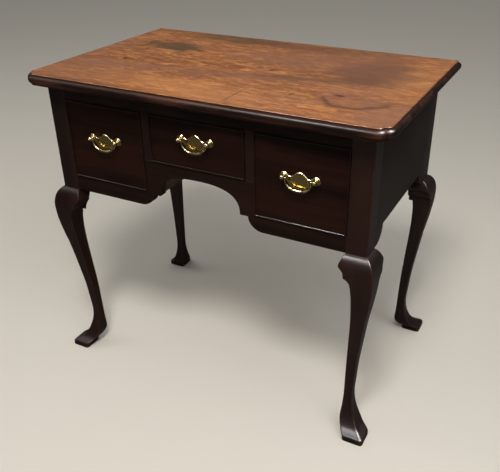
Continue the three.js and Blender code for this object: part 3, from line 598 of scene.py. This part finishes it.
def make_leg(name, side, corner_y, end):
    """Rounded squares up the leg's line, then the shoulder, then the corner post up to the top. Where
    the pad turns into the toe, its edge is a curve drawn towards the corner from both sides."""
    pad = [(0, toe_reach - sole_ease, sole_inset - sole_ease), (sole_ease, toe_reach, sole_inset)]
    share = np.linspace(0, 1, 5)[:, None]
    pad_side = leg_curve[0] - (pad_ease, 0, 0)
    toe_edge = pad_side * (1 - share) ** 2 + leg_curve[0] * 2 * share * (1 - share)
    toe_edge = toe_edge + leg_curve[2] * share ** 2
    post_depth = case_half - post_inner
    post = [(z, 0, post_depth) for z in (apron_bottom, apron_bottom + shoulder_ease, case_top)]
    line = np.vstack([pad, toe_edge, leg_curve[3:], post])
    x_pairs = np.column_stack([side * (case_half + line[:, 1]), side * (case_half - line[:, 2])])
    y_pairs = np.column_stack([corner_y + end * line[:, 1], corner_y - end * line[:, 2]])
    under_case = apron_bottom - bracket_height * covered_share
    toe_top = pad_height + toe_height
    outer_corner = np.interp(line[:, 0], [pad_height, toe_top], [pad_corner_radius, arris_radius])
    joined = np.interp(line[:, 0], [under_case, under_case + bracket_fade], [arris_radius, hidden_radius])
    joined = np.where(line[:, 0] < toe_top, outer_corner, joined)
    corners = np.column_stack([outer_corner, joined, joined, joined])
    rings = rounded_rectangles(x_pairs, y_pairs, line[:, 0], corners)
    low_down = np.where(line[:, 0] < scuffed_height, 1, upper_wear_share)[:, None]
    wear = np.tile(corner_wear, 4)[None, :] * low_down
    wear[line[:, 0] > under_case, 7:] = 0
    return skin(name, rings, wear, crease=32)


leg_wood = wood_material(
    "leg_mahogany", "z", leg_low, leg_high, 0.31, 0.25, wear_colour=leg_wear, wander=0.03,
    specular=0.44, relief_depth=0.0002)
legs = [
    ("front_left", -1, case_front, -1), ("front_right", 1, case_front, -1),
    ("back_left", -1, case_back, 1), ("back_right", 1, case_back, 1),
]
for place_name, side, corner_y, end in legs:
    leg = make_leg("cabriole_leg_" + place_name, side, corner_y, end)
    leg.data.materials.append(leg_wood)
    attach(leg, "case")
    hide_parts("leg_" + place_name)

# Knee brackets. Small blocks of mahogany glued under the case on both sides of a front knee and on
# the inner side of a back one. Their faces carry on the roll of the knee and end in a scrolled ear.
bracket_reach = 0.028
bracket_ease = 0.0009
bracket_shares = [
    (0.68, 0), (0.86, 0.14), (0.99, 0.31), (0.97, 0.36), (0.82, 0.43), (0.66, 0.5), (0.6, 0.56),
    (0.55, 0.69), (0.38, 0.73), (0.2, 0.8), (0.08, 0.89), (0.02, 1),
]
front_bracket_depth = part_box("bracket_front_left_front")[1].y - case_front
side_bracket_depth = case_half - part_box("bracket_front_right_side")[0].x
glue_line = 0.00005
ring_gap = 1e-7


def make_bracket(name, start, direction, face_at, outward, depth, along_x):
    """Rounded rectangles stacked down the ear, each at least a hair below the last: as long as the
    scroll at that height, and as thick as from the flat back to the roll of the knee."""
    scroll = curve_through(bracket_shares, 6)
    heights = apron_bottom - bracket_height * scroll[:, 1] - np.arange(len(scroll)) * ring_gap
    tips = start + direction * (glue_line + bracket_reach * scroll[:, 0])
    roll = np.interp(heights, leg_curve[:, 0], leg_curve[:, 1])
    long_pairs = np.column_stack([np.full(len(tips), start + direction * glue_line), tips])
    deep_pairs = np.column_stack([face_at + outward * roll, np.full(len(tips), face_at - outward * depth)])
    pairs = (long_pairs, deep_pairs) if along_x else (deep_pairs, long_pairs)
    corners = [hidden_radius] * 4
    corners[1 if along_x else 3] = bracket_ease
    return skin(name, rounded_rectangles(*pairs, heights, [corners] * len(tips)), crease=32)


for place_name, side, corner_y, end in legs:
    ears = {"side": make_bracket(
        f"knee_ear_{place_name}_side", corner_y - end * knee_inset, -end, side * case_half, side,
        side_bracket_depth, False)}
    if place_name.startswith("front"):
        ears["front"] = make_bracket(
            f"knee_ear_{place_name}_front", side * (case_half - knee_inset), -side, case_front, -1,
            front_bracket_depth, True)
    for face, bracket in ears.items():
        bracket.data.materials.append(leg_wood)
        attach(bracket, "case")
        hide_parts(f"bracket_{place_name}_{face}")

# Front frame. The top rail, the apron and the two dividers are solid mahogany, flush with the posts.
# The apron is sawn from one wide board: deep under the outer drawers, with a kneehole arch between
# two stepped lips in the middle.
drawer_gap = 0.0005
deep_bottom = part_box("left_drawer_front")[0].z - drawer_gap
shallow_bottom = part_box("centre_drawer_front")[0].z - drawer_gap
opening_top = rail_low.z
rail_back = rail_high.y
centre_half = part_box("divider_right")[0].x
deep_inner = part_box("divider_right")[1].x
arch_half = 0.0935
arch_spring = apron_bottom + 0.029
arch_crown = shallow_bottom - 0.023
arch_fullness = 2.6
lip_width = 0.018
corner_reach = 0.033
board_ease = 0.0005


def inset(outline, distance):
    """A closed outline moved inwards: each point goes along the sum of its two edge normals, divided
    by one plus their product, so that both edges move by the distance."""
    before = outline - np.roll(outline, 1, axis=0)
    after = np.roll(outline, -1, axis=0) - outline
    before = before / np.linalg.norm(before, axis=1, keepdims=True)
    after = after / np.linalg.norm(after, axis=1, keepdims=True)
    normal_before = np.column_stack([-before[:, 1], before[:, 0]])
    normal_after = np.column_stack([-after[:, 1], after[:, 0]])
    facing = (normal_before * normal_after).sum(axis=1, keepdims=True)
    return outline + distance * (normal_before + normal_after) / (1 + facing)


def board(name, outline, axis, low, high):
    """A flat board: an anticlockwise outline carried from low to high along one axis, with its edges
    eased by a small round at both faces."""
    steps = np.linspace(0, math.pi / 2, 4)
    rising = board_ease * (1 - np.cos(steps))
    falling = board_ease * (1 - np.sin(steps))
    insets = np.concatenate([falling, rising])
    depths = np.concatenate([low + rising, high - falling])
    columns = {"x": (2, 0, 1), "y": (0, 2, 1)}[axis]
    rings = [
        np.column_stack([inset(outline, distance), np.full(len(outline), depth)])[:, columns]
        for distance, depth in zip(insets, depths)
    ]
    return skin(name, rings, np.repeat([0, 1, 0.5, 0, 0, 0.5, 1, 0], len(outline)), crease=20)


def rectangle(u_low, u_high, v_low, v_high):
    """Anticlockwise corners of a rectangle."""
    return np.array([(u_low, v_low), (u_high, v_low), (u_high, v_high), (u_low, v_high)], float)


def apron_outline():
    """Anticlockwise seen from the front. Quarter curves lead from the low ends up to the lips, and the
    arch is a fuller half ellipse, 1 = x^n + z^n."""
    quarter = np.linspace(0, math.pi / 2, 16)
    lip_x = arch_half + lip_width
    corner = np.column_stack([
        lip_x + corner_reach * (1 - np.sin(quarter)),
        arch_spring - (arch_spring - apron_bottom) * np.cos(quarter),
    ])
    crown = np.linspace(0, math.pi / 2, 40)
    arch = np.column_stack([
        arch_half * np.cos(crown) ** (2 / arch_fullness),
        arch_spring + (arch_crown - arch_spring) * np.sin(crown) ** (2 / arch_fullness),
    ])[:-1]
    right = np.vstack([[(post_inner, apron_bottom)], corner, arch, [(0, arch_crown)]])
    left = right[-2::-1] * [-1, 1]
    upper = np.array([
        (post_inner, deep_bottom), (deep_inner, deep_bottom), (deep_inner, shallow_bottom),
        (-deep_inner, shallow_bottom), (-deep_inner, deep_bottom), (-post_inner, deep_bottom),
    ])
    clockwise = np.vstack([right, left, upper[::-1]])
    return clockwise[::-1]


polish_wear = (0.1, 0.042, 0.025)
rail_patch = (0.034, 0.01, 0.0056)
rail_wood = wood_material(
    "rail_mahogany", "x", polish_low, polish_high, 0.34, 0.55,
    wear_colour=polish_wear, patch_colour=rail_patch, specular=0.2)
front_boards = [
    ("front_apron", "apron", apron_outline(), rail_wood),
    ("front_top_rail", "top_rail", rectangle(-post_inner, post_inner, opening_top, case_top), rail_wood),
    ("front_divider_left", "divider_left",
     rectangle(-deep_inner, -centre_half, shallow_bottom, opening_top), leg_wood),
    ("front_divider_right", "divider_right",
     rectangle(centre_half, deep_inner, shallow_bottom, opening_top), leg_wood),
]
for name, node_name, outline, finish in front_boards:
    member = board(name, outline, "y", case_front, rail_back)
    member.data.materials.append(finish)
    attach(member, "case")
    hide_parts(node_name)

# Side panels. One wide mahogany board at each end of the case, with the grain from front to back,
# tongued into the posts. Its lower edge rises in a shallow arch between two curved corners.
panel_front = case_front + (case_half - post_inner)
panel_back = case_back - (case_half - post_inner)
side_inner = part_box("side_panel_right")[0].x
side_arch_rise = 0.032
side_corner_reach = 0.033
side_corner_start = 0.009


def side_outline():
    """Anticlockwise in Y and Z. Each lower corner is a quarter curve up to the flat of the arch."""
    quarter = np.linspace(0, math.pi / 2, 16)
    rise = apron_bottom + side_arch_rise * (1 - np.cos(quarter))
    step_in = side_corner_start + side_corner_reach * np.sin(quarter)
    front_corner = np.column_stack([panel_front + step_in, rise])
    back_corner = np.column_stack([panel_back - step_in, rise])[::-1]
    return np.vstack([
        [(panel_front, apron_bottom)], front_corner, back_corner,
        [(panel_back, apron_bottom), (panel_back, case_top), (panel_front, case_top)],
    ])


side_patch = (0.026, 0.008, 0.0046)
side_wood = wood_material(
    "side_mahogany", "y", polish_low, polish_high, 0.34, 0.5,
    wear_colour=polish_wear, patch_colour=side_patch, wander=0.08)
for place_name, side in (("left", -1), ("right", 1)):
    low, high = sorted((side * side_inner, side * case_half))
    panel = board("case_side_" + place_name, side_outline(), "x", low, high)
    panel.data.materials.append(side_wood)
    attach(panel, "case")
    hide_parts("side_panel_" + place_name)

# Back and inside of the case. The back board, the partitions between the drawers, and the runners and
# kickers that carry and hold down the drawers are plain oak and pine, planed but never polished. Their
# colours are kept far darker than the drawer oak: painted shade for the inside of the case.
# Painted shade: these oak and pine tones are darkened to stand for the shade that falls inside the case.
shaded_inner_low = (0.047, 0.025, 0.014)
shaded_inner_high = (0.133, 0.075, 0.041)
shaded_inner_patch = (0.034, 0.022, 0.014)
shaded_back_low = (0.056, 0.031, 0.019)
shaded_back_high = (0.164, 0.09, 0.05)
shaded_back_patch = (0.044, 0.028, 0.019)
inner_wood = wood_material("case_oak_painted_shade", "y", shaded_inner_low, shaded_inner_high, 0.7, patch_colour=shaded_inner_patch)
back_wood = wood_material("back_oak", "x", shaded_back_low, shaded_back_high, 0.7, patch_colour=shaded_back_patch)
for name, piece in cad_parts.items():
    if name.startswith(("partition", "runner", "kicker", "back_panel")):
        piece.data.materials.clear()
        piece.data.materials.append(back_wood if name == "back_panel" else inner_wood)

# Drawer boxes. A mahogany front, lap dovetailed to oak sides that are through dovetailed at the back,
# and a thin bottom board that slides into grooves from behind.
front_high = (0.027, 0.008, 0.0043)
front_patch = (0.007, 0.0029, 0.0019)
oak_low = (0.17, 0.092, 0.045)
oak_high = (0.4, 0.23, 0.115)
oak_patch = (0.112, 0.067, 0.039)
front_wood = wood_material(
    "drawer_front_mahogany", "x", polish_low, front_high, 0.32, 0.4,
    patch_colour=front_patch, wander=0.12, specular=0.15)
drawer_oak_y = wood_material("drawer_side_oak", "y", oak_low, oak_high, 0.66, patch_colour=oak_patch)
drawer_oak_x = wood_material("drawer_back_oak", "x", oak_low, oak_high, 0.66, patch_colour=oak_patch)
drawers = ("left", "centre", "right")
drawer_finishes = [
    ("drawer_front", front_wood, "case_wood"), ("drawer_side_left", drawer_oak_y, "inner_wood"),
    ("drawer_side_right", drawer_oak_y, "inner_wood"), ("drawer_back", drawer_oak_x, "inner_wood"),
    ("drawer_bottom", drawer_oak_x, "inner_wood"),
]
for drawer in drawers:
    for part_name, finish, slot_name in drawer_finishes:
        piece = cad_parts[f"{drawer}_{part_name}"]
        piece.data.materials.clear()
        piece.data.materials.append(finish)

# Cockbeads. A thin strip of mahogany let into each edge of a drawer front, mitred at the corners, with
# its front edge rounded over. Dusting keeps its crown bright.
bead_thickness = 0.003
bead_wood = wood_material(
    "bead_mahogany", "x", polish_low, polish_high, 0.3, 0.4, specular=0.3, relief_depth=0.0001)
bead_tree = bead_wood.node_tree
bead_normal = node(bead_tree, "NewGeometry").outputs["Normal"]
facing_up = ramped(bead_tree, node(bead_tree, "SeparateXYZ", [bead_normal]).outputs["Z"], 0.1, 0.4)
bead_coat = {"Coat Weight": facing_up, "Coat Roughness": 0.1, "Coat IOR": 2.0}
feed(bead_tree, bead_tree.nodes["Principled BSDF"], bead_coat)


def make_cockbead(name, low, high):
    """The bead's section, two upright flanks and a half circle over the crown, carried round the four
    mitred corners of the drawer front."""
    turn = np.linspace(0, math.pi, 11)
    radius = bead_thickness / 2
    inward = np.concatenate([[bead_thickness], radius + radius * np.cos(turn), [0]])
    depth = np.concatenate([[high.y], low.y + radius - radius * np.sin(turn), [high.y]])
    crown = np.concatenate([[0], np.sin(turn), [0]])
    rings = [
        np.column_stack([x + x_way * inward, depth, z + z_way * inward])
        for x, x_way, z, z_way in ((low.x, 1, low.z, 1), (high.x, -1, low.z, 1),
                                   (high.x, -1, high.z, -1), (low.x, 1, high.z, -1))
    ]
    return skin(name, rings, np.tile(crown, 4), loop=True, crease=40)


for drawer in drawers:
    bead = make_cockbead(f"{drawer}_bead_frame", *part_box(f"{drawer}_drawer_cockbead"))
    bead.data.materials.append(bead_wood)
    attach(bead, f"{drawer}_drawer")
    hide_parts(f"{drawer}_drawer_cockbead")

# Handles. Cast and filed brass: a shaped back plate with bevelled edges, two turned posts that go
# through the drawer front to nuts inside, and a bail that swings in a hole in each post head.
plate_half_width = 0.041
plate_rise = 0.0115
plate_drop = 0.0255
plate_thickness = 0.0016
plate_bevel = 0.0006
field_depth = 0.00015
plate_shares = [
    (0, 1), (0.09, 0.96), (0.19, 0.74), (0.3, 0.42), (0.4, 0.16), (0.49, 0.1), (0.59, 0.28),
    (0.67, 0.58), (0.78, 0.69), (0.89, 0.58), (0.97, 0.28), (1, 0), (0.97, -0.14), (0.89, -0.26),
    (0.78, -0.31), (0.67, -0.3), (0.6, -0.42), (0.52, -0.62), (0.4, -0.77), (0.27, -0.83),
    (0.13, -0.86), (0, -1),
]
post_spacing = 0.0636
head_standoff = 0.01
head_radius = 0.0048
shank_radius = 0.0024
front_thickness = 0.02
button_turn = 0.18
neck_turn = 0.62
button_seat = 0.93
post_sides = 28
# Radius and distance forwards: of the button from its seat, of the neck and collar from the drawer
# front, and of the nut from the back of the front
button_profile = [(0, 0.0011), (0.0006, 0.001), (0.0009, 0.0006)]
neck_profile = [
    (0.0026, 0.0056), (0.0026, 0.0048), (0.0036, 0.0045), (0.0043, 0.004), (0.0039, 0.0034),
    (0.0044, 0.0031), (0.0052, 0.0025), (0.0055, plate_thickness), (shank_radius, plate_thickness),
]
nut_profile = [
    (shank_radius, 0), (0.0062, 0), (0.0065, -0.0005), (0.0065, -0.0035), (0.0062, -0.004),
    (shank_radius, -0.004), (shank_radius, -0.0061), (0.0018, -0.0065), (0, -0.0065),
]
bail_drop = 0.0218
bail_end_radius = 0.0015
bail_bow_radius = 0.0026
pin_clearance = 0.0003
bail_sides = 20
bow_shares = [(1, 0), (1.02, 0.18), (0.96, 0.45), (0.78, 0.74), (0.45, 0.94)]
brass_ground = (0.58, 0.43, 0.165)
brass_rubbed = (0.76, 0.69, 0.45)
brass_tarnish = (0.24, 0.17, 0.06)
post_wear = 0.35
bail_wear = 0.6
tarnish_patches = (160, 160, 160)
tarnish_range = (0.42, 0.7)
tarnish_share = 0.35
scratch_patches = (300, 2600, 2600)
bright_gloss = 0.09
tarnish_dullness = 0.18
scratch_dullness = 0.1


def make_plate(name, middle_x, face_y, middle_z):
    """The outline is a closed curve through the shares and their mirror image, carried forwards and
    drawn in over the bevel, with a shallow sunk field behind the bevel's inner line."""
    right = np.array([
        (plate_half_width * u, (plate_rise if v > 0 else plate_drop) * v) for u, v in plate_shares
    ])
    closed = np.vstack([right, right[-2:0:-1] * [-1, 1]])
    padded = np.vstack([closed[-2:], closed, closed[:3]])
    outline = curve_through(padded, 6)[12:-12][:-1][::-1]
    steps = [
        # drawn in, forwards, wear
        (0, 0, 0), (0, plate_thickness - plate_bevel, 0.6), (plate_bevel, plate_thickness, 1),
        (plate_bevel * 1.3, plate_thickness, 0.9), (plate_bevel * 1.7, plate_thickness - field_depth, 0),
    ]
    rings = [
        np.insert(inset(outline, drawn_in) + [middle_x, middle_z], 1, face_y - forwards, axis=1)
        for drawn_in, forwards, _ in steps
    ]
    return skin(name, rings, np.repeat([worn for _, _, worn in steps], len(outline)))


def turned_post(name, middle_x, face_y, middle_z):
    """Radius against distance in front of the drawer, spun about the post: ball head with a small
    button, neck, stepped collar on the plate, shank through the front, and the nut behind it."""
    turn = np.linspace(button_turn, math.pi - neck_turn, 14)
    head = np.column_stack([head_radius * np.sin(turn), head_standoff + head_radius * np.cos(turn)])
    button = np.add(button_profile, [0, head_standoff + head_radius * button_seat])
    nut = np.subtract(nut_profile, [0, front_thickness])
    line = np.vstack([button, head, neck_profile, nut])
    around = np.linspace(0, 2 * math.pi, post_sides, endpoint=False)
    radius, forwards = line[:, :1], line[:, 1:]
    rings = np.stack([
        middle_x + radius * np.cos(around), face_y - forwards + 0 * around,
        middle_z + radius * np.sin(around),
    ], axis=-1)
    return skin(name, rings, np.full(rings.shape[:2], post_wear), crease=40)


def make_bail(name, middle_x, pivot_y, middle_z):
    """A round bar along a smooth bow from pin to pin. Its radius swells towards the middle by the
    fourth power of the sine of the way along."""
    arm = post_spacing / 2 - head_radius - bail_end_radius - pin_clearance
    pin = post_spacing / 2 - bail_end_radius
    right = [(pin, 0), ((pin + arm) / 2, 0)] + [(arm * u, -bail_drop * v) for u, v in bow_shares]
    path = curve_through(right + [(0, -bail_drop)] + [(-x, z) for x, z in right[::-1]], 10)
    steps = np.linalg.norm(np.diff(path, axis=0), axis=1)
    share = np.concatenate([[0], np.cumsum(steps)]) / steps.sum()
    radius = bail_end_radius + (bail_bow_radius - bail_end_radius) * np.sin(math.pi * share) ** 4
    tangent = np.gradient(path, axis=0)
    tangent /= np.linalg.norm(tangent, axis=1, keepdims=True)
    outward = np.column_stack([tangent[:, 1], -tangent[:, 0]])
    around = np.linspace(0, 2 * math.pi, bail_sides, endpoint=False)
    swing = radius[:, None] * np.cos(around)
    across = radius[:, None] * np.sin(around)
    rings = np.stack([
        middle_x + path[:, :1] + outward[:, :1] * across, pivot_y + swing,
        middle_z + path[:, 1:] + outward[:, 1:] * across,
    ], axis=-1)
    return skin(name, rings, np.full(rings.shape[:2], bail_wear), crease=60)


def brass_material():
    """Old brass that is rubbed bright on its edges and crowns, with brown tarnish left in the hollows
    and fine scratches from cleaning."""
    made, tree, shader = new_material("old_brass")
    place = piece_place(tree)
    worn = piece_wear(tree)
    clouds = ramped(tree, noise(tree, place, tarnish_patches, 4.0, 0.4), *tarnish_range)
    scratches = noise(tree, place, scratch_patches, 2.0)
    tarnish = times(tree, clouds, math_node(tree, "SUBTRACT", 1.0, worn, clamp=True))
    colour = mixed(tree, worn, brass_ground, brass_rubbed)
    colour = mixed(tree, times(tree, tarnish, tarnish_share), colour, brass_tarnish)
    rough = plus(tree, bright_gloss, times(tree, tarnish, tarnish_dullness))
    bump = node(tree, "Bump", {"Height": scratches, "Strength": 0.15, "Distance": 0.0002})
    feed(tree, shader, {
        "Base Color": colour, "Metallic": 1.0, "Normal": bump.outputs[0],
        "Roughness": plus(tree, rough, times(tree, scratches, scratch_dullness)),
    })
    return made


old_brass = brass_material()
for drawer in drawers:
    plate_low, plate_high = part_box(f"{drawer}_handle_plate")
    middle_x = (plate_low.x + plate_high.x) / 2
    middle_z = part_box(f"{drawer}_handle_bail")[1].z - bail_end_radius
    face_y = plate_high.y
    plate = make_plate(f"{drawer}_back_plate", middle_x, face_y, middle_z)
    brasses = [(plate, f"{drawer}_drawer", f"{drawer}_handle_plate")]
    for hand, way in (("left", -1), ("right", 1)):
        post_x = middle_x + way * post_spacing / 2
        post = turned_post(f"{drawer}_turned_post_{hand}", post_x, face_y, middle_z)
        brasses.append((post, f"{drawer}_drawer", f"{drawer}_handle_post_{hand}"))
    bail = make_bail(f"{drawer}_swing_bail", middle_x, face_y - head_standoff, middle_z)
    brasses.append((bail, f"{drawer}_bail", f"{drawer}_handle_bail"))
    for piece, body, node_name in brasses:
        piece.data.materials.append(old_brass)
        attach(piece, body)
        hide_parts(node_name)

# Studio. A wide, plain, pale paper floor, and a pale surround. Soft lamps stand overhead and at both
# sides, and two more show in reflections only, as windows do in polished wood and brass. Paper and
# surround are dimmed in reflections, so that dark polish stays dark.
floor_radius = 14.0
floor_sides = 96
paper_tone = (0.76, 0.715, 0.64)
paper_dimmed = 0.87
surround_tone = (0.8, 0.8, 0.78, 1)
surround_strength = 0.34
surround_dimmed = 0.8
lamps = [
    # name, place, target, size, power, colour, shows in reflections only
    ("lamp_ceiling", (0.5, -1.4, 2.7), (0.1, 0, 0.4), 0.6, 45, (1.0, 0.98, 0.95), False),
    ("lamp_left", (-2.6, -0.6, 2.4), (0, 0, 0.4), 1.8, 14, (1.0, 0.97, 0.93), False),
    ("lamp_right", (1.9, -1.2, 2.5), (0, 0, 0.3), 1.6, 20, (1.0, 0.99, 0.97), False),
    ("lamp_window", (-0.6, -1.25, 2.75), (0.1, 0, 0.5), 0.65, 48, (1.0, 0.99, 0.97), True),
    ("lamp_skylight", (1.06, -0.1, 1.92), (0.39, -0.24, 0.69), 0.5, 100, (1.0, 0.97, 0.95), True),
]

turn = np.linspace(0, 2 * math.pi, floor_sides, endpoint=False)
floor_points = floor_radius * np.column_stack([np.cos(turn), np.sin(turn), 0 * turn])
floor_mesh = bpy.data.meshes.new("studio_floor")
floor_mesh.from_pydata(floor_points.tolist(), [], [list(range(floor_sides))])
floor = bpy.data.objects.new("studio_floor", floor_mesh)
bpy.context.scene.collection.objects.link(floor)
paper, paper_tree, paper_shader = new_material("studio_paper")
reflected = times(paper_tree, node(paper_tree, "LightPath").outputs["Is Glossy Ray"], paper_dimmed)
feed(paper_tree, paper_shader, {
    "Base Color": mixed(paper_tree, reflected, paper_tone, (0, 0, 0)),
    "Roughness": 0.8, "Specular IOR Level": 0.2,
})
floor_mesh.materials.append(paper)

for name, place, target, size, power, colour, reflections_only in lamps:
    data = bpy.data.lights.new(name, "AREA")
    data.shape = "SQUARE"
    data.size = size
    data.energy = power
    data.color = colour
    lamp = bpy.data.objects.new(name, data)
    facing = (Vector(target) - Vector(place)).to_track_quat("-Z", "Y")
    lamp.matrix_world = Matrix.Translation(place) @ facing.to_matrix().to_4x4()
    lamp.visible_diffuse = not reflections_only
    bpy.context.scene.collection.objects.link(lamp)

surround = bpy.data.worlds.new("surround")
surround.use_nodes = True
surround_tree = surround.node_tree
dimmed = times(surround_tree, node(surround_tree, "LightPath").outputs["Is Glossy Ray"], surround_dimmed)
strength = times(surround_tree, math_node(surround_tree, "SUBTRACT", 1.0, dimmed), surround_strength)
feed(surround_tree, surround_tree.nodes["Background"], {"Color": surround_tone, "Strength": strength})
bpy.context.scene.world = surround
bpy.context.scene.view_settings.view_transform = "Standard"
